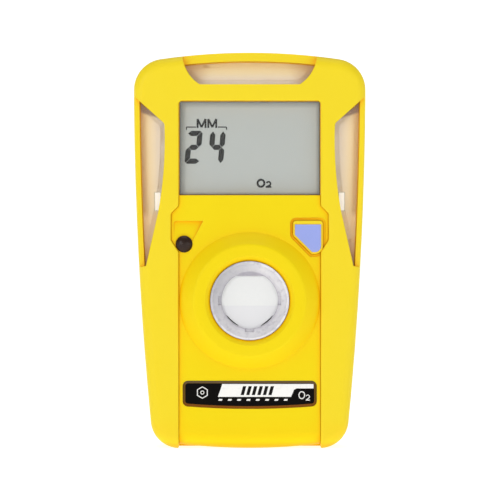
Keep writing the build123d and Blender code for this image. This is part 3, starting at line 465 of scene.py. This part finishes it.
# The button's strong pale edges are a painted highlight.
BUTTON = moulded_yellow("pale_button_yellow", 0.45, 0.4, 0.2 * MM, 0.008 * MM, 0.8)
STEEL_DARK = srgb(120, 121, 124)
STEEL = srgb(190, 191, 194)
NODE_LOOKS = {
    BODY: ("front_shell",),
    BACK: ("rear_shell",),
    BUMPER: ("front_bumper",),
    BUTTON: ("push_button",),
    plain_moulding("lavender_key", srgb(145, 161, 226), srgb(153, 165, 231), 0.55): ("button_inlay",),
    clear_plastic("clear_lens", srgb(255, 250, 240), 0.05, 0.06, (4.0, 4.0, 0.3)): (
        "alarm_lens_left", "alarm_lens_right"),
    clear_plastic("clear_top_lens", srgb(255, 250, 240), 0.05, 0.06, (0.3, 4.0, 4.0)): (
        "alarm_lens_top",),
    clear_plastic("clear_window", srgb(235, 238, 236), 0.03, 0.04): ("display_window",),
    clear_ring("clear_ring"): ("sensor_retainer",),
    top_reflector("warm_reflector_top"): ("alarm_reflector_top",),
    side_reflector("warm_reflector_left", -1.0): ("alarm_reflector_left",),
    side_reflector("warm_reflector_right", 1.0): ("alarm_reflector_right",),
    polariser("grey_polariser"): ("display_glass",),
    # The carrier is painted dark grey to stand for the shade round the display.
    plain_moulding("carrier_grey_painted_shade", srgb(120, 124, 124), srgb(104, 108, 108), 0.6): (
        "display_carrier",),
    rubber("grey_zebra", srgb(90, 90, 94), srgb(70, 70, 74)): ("zebra_strip",),
    circuit_board("solder_mask"): ("main_board", "sensor_board"),
    plain_moulding("chip_black", srgb(26, 26, 28), srgb(40, 40, 42), 0.5, 0.1 * MM): (
        "board_chips", "board_header", "infrared_module", "buzzer", "switch_plunger"),
    worked_metal("screw_steel", STEEL, STEEL_DARK, 0.28, (1.0, 0.2, 1.0)): (
        "board_screws", "case_screws", "sensor_board_screws", "clip_screw", "clip_washer"),
    worked_metal("insert_brass", srgb(214, 176, 96), srgb(168, 130, 62), 0.3, (1.0, 0.2, 1.0)): (
        "case_inserts", "clip_insert"),
    worked_metal("contact_gold", srgb(232, 196, 110), srgb(206, 164, 84), 0.22, (1.0, 0.3, 1.0)): (
        "sensor_pins", "sensor_sockets"),
    worked_metal("stamped_cover", STEEL, STEEL_DARK, 0.35, (1.0, 1.0, 0.2)): ("tact_switch",),
    rubber("seal_black", srgb(30, 30, 31), srgb(44, 44, 45)): (
        "shell_gasket", "buzzer_gasket", "sensor_gasket", "battery_pad", "motor_boot"),
    plain_moulding("outlet_black", srgb(32, 14, 4), srgb(46, 24, 10), 0.3, 0.2 * MM,
                   Specular_IOR_Level=0.3): ("alarm_port_cap",),
    # The faint glow on the white LEDs is painted light; the LEDs are not lit.
    plain_moulding("led_painted_glow", srgb(255, 253, 246), srgb(252, 248, 236), 0.25, 0.25 * MM,
                   Emission_Color=srgb(255, 250, 238), Emission_Strength=0.35): ("alarm_leds",),
    plain_moulding("cell_white", srgb(228, 228, 224), srgb(214, 214, 212), 0.5): ("sensor_cell",),
    dust_filter("filter_white"): ("sensor_filter",),
    nameplate_frame("label_brown"): ("label_plate",),
    plain_moulding("label_black", srgb(6, 4, 3), srgb(12, 9, 8), 0.2, 0.3 * MM,
                   Specular_IOR_Level=0.05): ("label_face",),
    plain_moulding("label_blank", srgb(216, 216, 212), srgb(210, 210, 206), 0.45): ("rear_label",),
    plain_moulding("battery_sleeve", srgb(34, 66, 120), srgb(28, 54, 100), 0.22): ("battery_cell",),
    worked_metal("nickel_strip", srgb(200, 196, 186), srgb(150, 146, 138), 0.35, (1.0, 0.2, 1.0)): (
        "battery_tabs",),
    worked_metal("motor_steel", STEEL, STEEL_DARK, 0.3, (0.2, 1.0, 1.0)): (
        "motor_can", "motor_shaft"),
    worked_metal("weight_sintered", srgb(120, 120, 124), srgb(92, 92, 96), 0.45, (1.0, 1.0, 1.0)): (
        "motor_weight",),
    worked_metal("clip_stainless", srgb(204, 205, 208), srgb(168, 169, 173), 0.24, (1.0, 0.2, 0.05),
                 0.15 * MM, 0.6 * MM): ("clip_base", "clip_lever", "clip_pin"),
    worked_metal("drawn_wire", srgb(160, 161, 164), srgb(112, 113, 116), 0.3, (1.0, 1.0, 1.0)): (
        "clip_spring",),
}


def dress_nodes():
    """Give every CAD node its material."""
    for material, names in NODE_LOOKS.items():
        for name in names:
            mesh = NODES[name].data
            mesh.materials.clear()
            mesh.materials.append(material)


# ---------------------------------------------------------------- mesh helpers

def placed(name, data):
    """New object in the scene that shows a mesh, curve, lamp or camera."""
    obj = bpy.data.objects.new(name, data)
    bpy.context.scene.collection.objects.link(obj)
    return obj


def piece(name, verts, faces, material, body=CASE):
    """New mesh piece in the part's frame that rides on a body."""
    mesh = bpy.data.meshes.new(name)
    mesh.from_pydata(verts, [], faces)
    mesh.materials.append(material)
    mesh.validate()
    obj = placed(name, mesh)
    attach(obj, body)
    return obj


def slab(outlines, depth, thickness):
    """Thin closed slabs over outlines of (x, z); depth(x) gives the front face at that width."""
    verts, faces = [], []
    for outline in outlines:
        base, count = len(verts), len(outline)
        verts += [(x, depth(x), z) for x, z in outline]
        verts += [(x, depth(x) + thickness, z) for x, z in outline]
        faces.append(tuple(range(base, base + count)))
        faces.append(tuple(range(base + 2 * count - 1, base + count - 1, -1)))
        for i in range(count):
            j = (i + 1) % count
            faces.append((base + j, base + i, base + count + i, base + count + j))
    return verts, faces


def ribbon(points, width, closed=False):
    """Quads of even width along a line of (x, z) points, as a list of outlines."""
    count = len(points)
    sides = []
    for i, point in enumerate(points):
        before = points[i - 1] if (closed or i > 0) else point
        after = points[(i + 1) % count] if (closed or i < count - 1) else point
        run = Vector(after) - Vector(before)
        across = Vector((-run.y, run.x)).normalized() * width / 2
        sides.append((Vector(point) + across, Vector(point) - across))
    last = count if closed else count - 1
    quads = []
    for i in range(last):
        (a, b), (c, d) = sides[i], sides[(i + 1) % count]
        quads.append([tuple(a), tuple(b), tuple(d), tuple(c)])
    return quads


def arc(centre, radii, start, end, steps):
    """Points along an elliptical arc, angles in degrees from +X towards +Z."""
    points = []
    for i in range(steps + 1):
        angle = math.radians(start + (end - start) * i / steps)
        points.append((centre[0] + radii[0] * math.cos(angle), centre[1] + radii[1] * math.sin(angle)))
    return points


def glyph_o(left, base, width, height, stroke):
    """A round capital letter O."""
    radii = ((width - stroke) / 2, (height - stroke) / 2)
    return ribbon(arc((left + width / 2, base + height / 2), radii, 0, 360, 28)[:-1], stroke, True)


def glyph_two(left, base, width, height, stroke):
    """A rounded figure two."""
    half = (width - stroke) / 2
    bowl = (left + width / 2, base + height - stroke / 2 - half)
    points = arc(bowl, (half, half), 160, -30, 10)
    points.append((left + stroke / 2, base + stroke / 2))
    foot = [(left, base + stroke / 2), (left + width, base + stroke / 2)]
    return ribbon(points, stroke) + ribbon(foot, stroke)


def glyph_m(left, base, width, height, stroke):
    """A capital letter M of four straight strokes."""
    half, high = stroke / 2, base + height
    valley = (left + width / 2, base + 0.08 * height)
    corners = [(left + half, base), (left + half, high), valley,
               (left + width - half, high), (left + width - half, base)]
    strokes = []
    for start, end in zip(corners, corners[1:]):
        strokes += ribbon([start, end], stroke)
    return strokes


# ---------------------------------------------------------------- display

DIGITS = {
    "2": ("top", "upper_right", "middle", "lower_left", "bottom"),
    "4": ("upper_left_free", "upper_right_free", "middle", "lower_right_free"),
}
DIGIT_SLANT = 0.09
SEGMENT_GAP = 0.045 * MM


def segment_corners(width, height, bar):
    """Bars of the two figures, mitred where they join and pointed at their free ends."""
    middle, half = height / 2, bar / 2
    cut, nick, point = 0.45 * bar, 0.22 * bar, 0.75 * bar
    joined = [(0, middle - half), (half, middle), (bar, middle - half), (bar, bar),
              (nick, nick), (0, cut)]
    free = [(0, height - point), (half, height - 0.1 * bar), (bar, height - point),
            (bar, middle + half), (half, middle), (0, middle + half)]
    slope = 0.15 * bar
    top = [(point, height), (width - cut, height), (width - nick, height - nick),
           (width - bar, height - bar), (point, height - bar), (slope, height - half)]
    across = [(half, middle), (bar, middle + half), (width - bar, middle + half),
              (width - half, middle), (width - bar, middle - half), (bar, middle - half)]

    def turned_round(corners):
        return [(width - x, height - z) for x, z in corners]
    return {
        "top": top,
        "bottom": turned_round(top),
        "middle": across,
        "lower_left": joined,
        "upper_right": turned_round(joined),
        "upper_left_free": free,
        "upper_right_free": [(width - x, z) for x, z in free],
        "lower_right_free": turned_round(free),
    }


def digit(value, left, base, width, height, bar):
    """Seven-segment figure standing at (left, base), leaning slightly to the right."""
    bars = []
    for name in DIGITS[value]:
        corners = [Vector(corner) for corner in segment_corners(width, height, bar)[name]]
        centre = sum(corners, Vector((0.0, 0.0))) / len(corners)
        shrunk = [corner - (corner - centre).normalized() * SEGMENT_GAP for corner in corners]
        bars.append([(left + c.x + DIGIT_SLANT * c.y, base + c.y) for c in shrunk])
    return bars


def count_marks(left, top):
    """The two figures of the count and the two letters over them."""
    width, height, bar = 3.45 * MM, 7.3 * MM, 1.2 * MM
    shapes = []
    for value, start in (("2", 1.2), ("4", 6.3)):
        shapes += digit(value, left + start * MM, top - 13.85 * MM, width, height, bar)
    for start in (3.92, 6.28):
        shapes += glyph_m(left + start * MM, top - 5.95 * MM, 2.17 * MM, 1.98 * MM, 0.42 * MM)
    return shapes


def bracket_marks(left, top):
    """Thin bracket over the figures, hooked down at its two ends."""
    line, drop = 0.24 * MM, 0.62 * MM
    bracket_z = top - 5.75 * MM
    shapes = []
    for inner, outer in ((3.75, 1.68), (8.6, 10.5)):
        hook = [(left + inner * MM, bracket_z), (left + outer * MM, bracket_z),
                (left + outer * MM, bracket_z - drop)]
        shapes += ribbon(hook[:2], line) + ribbon(hook[1:], line)
    return shapes


def display_marks():
    """What the display shows: a two-figure count under its bracket, and the gas."""
    low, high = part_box("display_glass")
    front = low.y - 0.03 * MM
    left, top = low.x - 0.3 * MM, high.z + 0.25 * MM
    ink = plain_moulding("display_ink", srgb(10, 10, 10), srgb(15, 15, 15), 0.7, 0.1 * MM,
                         Specular_IOR_Level=0.15)
    shapes = count_marks(left, top) + bracket_marks(left, top)
    shapes += glyph_o(left + 17.1 * MM, top - 19.1 * MM, 1.95 * MM, 2.0 * MM, 0.46 * MM)
    shapes += glyph_two(left + 19.1 * MM, top - 19.1 * MM, 1.28 * MM, 1.5 * MM, 0.37 * MM)
    verts, faces = slab(shapes, lambda x: front, 0.02 * MM)
    piece("display_marks", verts, faces, ink)


# ---------------------------------------------------------------- nameplate print

def label_depth(lift):
    """Depth of the nameplate's bulged face, lifted by a little."""
    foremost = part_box("label_face")[0].y

    def depth(x):
        return foremost + BULGE_RADIUS - math.sqrt(BULGE_RADIUS ** 2 - x ** 2) - lift
    return depth


def split_wide(outline, columns):
    """Cut a quad with upright-ish ends into columns, so that it can follow the bulge."""
    (bl, br, tr, tl) = [Vector(corner) for corner in outline]
    strips = []
    for i in range(columns):
        a, b = i / columns, (i + 1) / columns
        strips.append([tuple(bl.lerp(br, a)), tuple(bl.lerp(br, b)),
                       tuple(tl.lerp(tr, b)), tuple(tl.lerp(tr, a))])
    return strips


def pale_field(top, strip_low, field_low):
    """Pale strip along the top of the nameplate and the field that hangs from it."""
    field = [(-7.0 * MM, field_low), (9.1 * MM, field_low), (9.6 * MM, strip_low),
             (-6.35 * MM, strip_low)]
    strip = [(-6.35 * MM, strip_low), (14.05 * MM, strip_low), (14.05 * MM, top), (-6.05 * MM, top)]
    corner = [(9.6 * MM, strip_low), (9.1 * MM, field_low), (9.75 * MM, strip_low - 0.28 * MM),
              (10.35 * MM, strip_low)]
    return split_wide(field, 12) + split_wide(strip, 14) + [corner]


def slanted_row(count, first, pitch, width, slant, low, high):
    """Row of slanted bars; first, pitch, width and slant are in millimetres."""
    bars = []
    for i in range(count):
        x = (first + pitch * i) * MM
        bars.append([(x, low), (x + width * MM, low),
                     (x + (width + slant) * MM, high), (x + slant * MM, high)])
    return bars


def hexagon_mark(centre):
    """Open hexagon round a small ring."""
    hexagon = arc(centre, (1.25 * MM, 1.25 * MM), 30, 390, 6)[:-1]
    ring_half, ring_size = 0.45 * MM, 0.9 * MM
    ring = glyph_o(centre[0] - ring_half, centre[1] - ring_half, ring_size, ring_size, 0.2 * MM)
    return ribbon(hexagon, 0.24 * MM, True) + ring


def label_print():
    """Generic print on the nameplate: pale field, dark tab with the gas, and plain marks."""
    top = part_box("label_face")[1].z - 0.12 * MM
    white = plain_moulding("print_white", srgb(246, 246, 244), srgb(238, 238, 238), 0.2)
    black = plain_moulding("print_black", srgb(10, 8, 8), srgb(16, 13, 13), 0.2,
                           Specular_IOR_Level=0.1)
    field_low, strip_low = top - 2.85 * MM, top - 1.0 * MM
    shapes = pale_field(top, strip_low, field_low)
    shapes += glyph_o(10.7 * MM, top - 3.35 * MM, 1.5 * MM, 1.75 * MM, 0.23 * MM)
    shapes += glyph_two(12.3 * MM, top - 3.65 * MM, 0.95 * MM, 1.3 * MM, 0.2 * MM)
    shapes += slanted_row(8, -6.9, 2.05, 0.8, 0.15, field_low - 0.85 * MM, field_low - 0.45 * MM)
    shapes += hexagon_mark((-10.4 * MM, top - 1.9 * MM))
    verts, faces = slab(shapes, label_depth(0.03 * MM), 0.03 * MM)
    piece("label_print_white", verts, faces, white)
    bars = slanted_row(6, -2.0, 1.22, 0.72, 0.53, field_low + 0.4 * MM, top - 0.5 * MM)
    verts, faces = slab(bars, label_depth(0.05 * MM), 0.03 * MM)
    piece("label_print_black", verts, faces, black)


# ---------------------------------------------------------------- gas inlet

def inlet_slits():
    """Two tapered dark sheets between the white disc and the clear ring, painted shade for the gaps
    there.
    """
    low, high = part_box("sensor_filter")
    centre = (0.0, (low.z + high.z) / 2)
    # The dark colour is painted shade for the gaps.
    dark = plain_moulding("slit_painted_shade", srgb(44, 42, 44), srgb(34, 32, 34), 0.7)
    radius, widest, steps, thickness = 6.08 * MM, 0.04, 12, 0.04 * MM
    shapes = []
    for start, end in ((212, 247), (293, 328)):
        outer = arc(centre, (radius, radius), start, end, steps)
        inner = []
        for i, point in enumerate(outer):
            share = math.sin(math.pi * i / steps) ** 0.5 if 0 < i < steps else 0.0
            inner.append(tuple(Vector(centre).lerp(Vector(point), 1 - widest * share)))
        for i in range(steps):
            shapes.append([outer[i], outer[i + 1], inner[i + 1], inner[i]])
    verts, faces = slab(shapes, lambda x: low.y - thickness, thickness)
    piece("inlet_slits", verts, faces, dark)


# ---------------------------------------------------------------- clip spring

SPRING_TURNS = 8
STEPS_PER_TURN = 28


def spring_path(radius, half_width, pin, plate_end, tab_end):
    """Centre line of the torsion spring: plate leg, coil on the pin, tab leg."""
    def leg(end, sense):
        offset = Vector(end) - Vector(pin)
        lean = math.asin(radius / offset.length)
        return math.atan2(offset.y, offset.x) + sense * lean
    plate_angle, tab_angle = leg(plate_end, -1), leg(tab_end, 1)
    start = plate_angle + math.pi / 2
    sweep = SPRING_TURNS * math.tau + math.pi + tab_angle - plate_angle
    points = [Vector((-half_width, *plate_end))]
    steps = SPRING_TURNS * STEPS_PER_TURN
    for i in range(steps + 1):
        angle = start + sweep * i / steps
        x = -half_width + 2 * half_width * i / steps
        points.append(Vector((x, pin[0] + radius * math.cos(angle), pin[1] + radius * math.sin(angle))))
    points.append(Vector((half_width, *tab_end)))
    return points


def clip_spring():
    """Wire spring on the clip's hinge pin, built in one pose; the real spring winds up as the clip
    opens.
    """
    hinge = JOINTS["clip_open"]["pos_m"]
    pin = (hinge[1], hinge[2])
    plate_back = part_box("clip_washer")[0].y
    wire, radius, half_width = 0.4 * MM, 1.7 * MM, 3.6 * MM
    gap, plate_leg, tab_leg, tab_depth = 0.05 * MM, 9 * MM, 6 * MM, 14.85 * MM
    points = spring_path(radius, half_width, pin, (plate_back + wire + gap, pin[1] + plate_leg),
                         (tab_depth, pin[1] + tab_leg))
    curve = bpy.data.curves.new("clip_spring_wire", "CURVE")
    curve.dimensions = "3D"
    curve.bevel_depth = wire
    curve.bevel_resolution = 3
    curve.use_fill_caps = True
    spline = curve.splines.new("POLY")
    spline.points.add(len(points) - 1)
    for target, point in zip(spline.points, points):
        target.co = (*point, 1.0)
    source = placed("clip_spring_source", curve)
    graph = bpy.context.evaluated_depsgraph_get()
    mesh = bpy.data.meshes.new_from_object(source.evaluated_get(graph))
    bpy.data.objects.remove(source)
    mesh.materials.clear()
    mesh.materials.append(NODES["clip_spring"].data.materials[0])
    mesh.shade_smooth()
    coil = placed("clip_spring_wire", mesh)
    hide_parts("clip_spring")
    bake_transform(coil)


# ---------------------------------------------------------------- stage, lights and camera

WHITE = (1.0, 1.0, 1.0, 1.0)
DETECTOR_MIDDLE = Vector((0.0, 0.0, 0.045))


def studio_white():
    """Pale sweep that stays nearly white, with only a faint contact shadow."""
    return Look("studio_white", (0.6, 0.6, 0.6, 1.0), 0.9,
                Emission_Color=WHITE, Emission_Strength=0.78).material


def round_sheet(profile, segments):
    """Points and faces of a closed middle with rings round it, from rows of (radius, z)."""
    verts = []
    for radius, z in profile:
        for i in range(segments):
            turn = math.tau * i / segments
            verts.append((radius * math.cos(turn), radius * math.sin(turn), z))
    faces = [tuple(range(segments))]
    for ring in range(len(profile) - 1):
        for i in range(segments):
            j = (i + 1) % segments
            inner, outer = ring * segments, (ring + 1) * segments
            faces.append((inner + j, inner + i, outer + i, outer + j))
    return verts, faces


def stage():
    """Round pale floor whose edge curves up, so that it fills the view from every side."""
    middle_radius, floor_radius, bend, segments, bend_steps = 0.6, 2.1, 0.45, 64, 10
    profile = [(middle_radius, 0.0), (floor_radius, 0.0)]
    for i in range(1, bend_steps + 1):
        angle = math.pi / 2 * i / bend_steps
        profile.append((floor_radius + bend * math.sin(angle), bend * (1 - math.cos(angle))))
    verts, faces = round_sheet(profile, segments)
    mesh = bpy.data.meshes.new("studio_sweep")
    mesh.from_pydata(verts, [], faces)
    mesh.materials.append(studio_white())
    mesh.shade_smooth()
    sweep = placed("studio_sweep", mesh)


def softbox(name, place, size, power):
    """Square area light aimed at the middle of the detector."""
    data = bpy.data.lights.new(name, "AREA")
    data.size = size
    data.energy = power
    lamp = placed(name, data)
    lamp.location = place
    lamp.rotation_euler = (DETECTOR_MIDDLE - Vector(place)).to_track_quat("-Z", "Y").to_euler()


def lights():
    """White world and four softboxes: left front, weaker right front, top and a faint rim."""
    world = bpy.data.worlds.new("studio_world")
    bpy.context.scene.world = world
    world.use_nodes = True
    background = world.node_tree.nodes["Background"]
    background.inputs["Color"].default_value = WHITE
    background.inputs["Strength"].default_value = 0.45
    softbox("front_left", (-0.75, -1.1, 0.4), 0.6, 2.6)
    softbox("front_right", (0.75, -1.1, 0.2), 0.6, 0.95)
    softbox("top_light", (0.0, -0.1, 0.95), 0.7, 2.1)
    softbox("rim_back", (-0.2, 0.75, 0.6), 0.6, 0.3)


def camera():
    """Long lens, square on to the front, with the detector filling four fifths of the height."""
    distance, view_height, centre = 1.0, 110.15 * MM, (0.066 * MM, 43.6 * MM)
    front_plane = -15.0 * MM
    data = bpy.data.cameras.new("front_camera")
    data.sensor_width = 36.0
    data.lens = data.sensor_width * distance / view_height
    data.clip_start, data.clip_end = 0.01, 20.0
    cam = placed("front_camera", data)
    cam.location = (centre[0], front_plane - distance, centre[1])
    cam.rotation_euler = (math.radians(90), 0.0, 0.0)
    bpy.context.scene.camera = cam
    bpy.context.scene.view_settings.view_transform = "Standard"


dress_nodes()
display_marks()
label_print()
inlet_slits()
clip_spring()
stage()
lights()
camera()
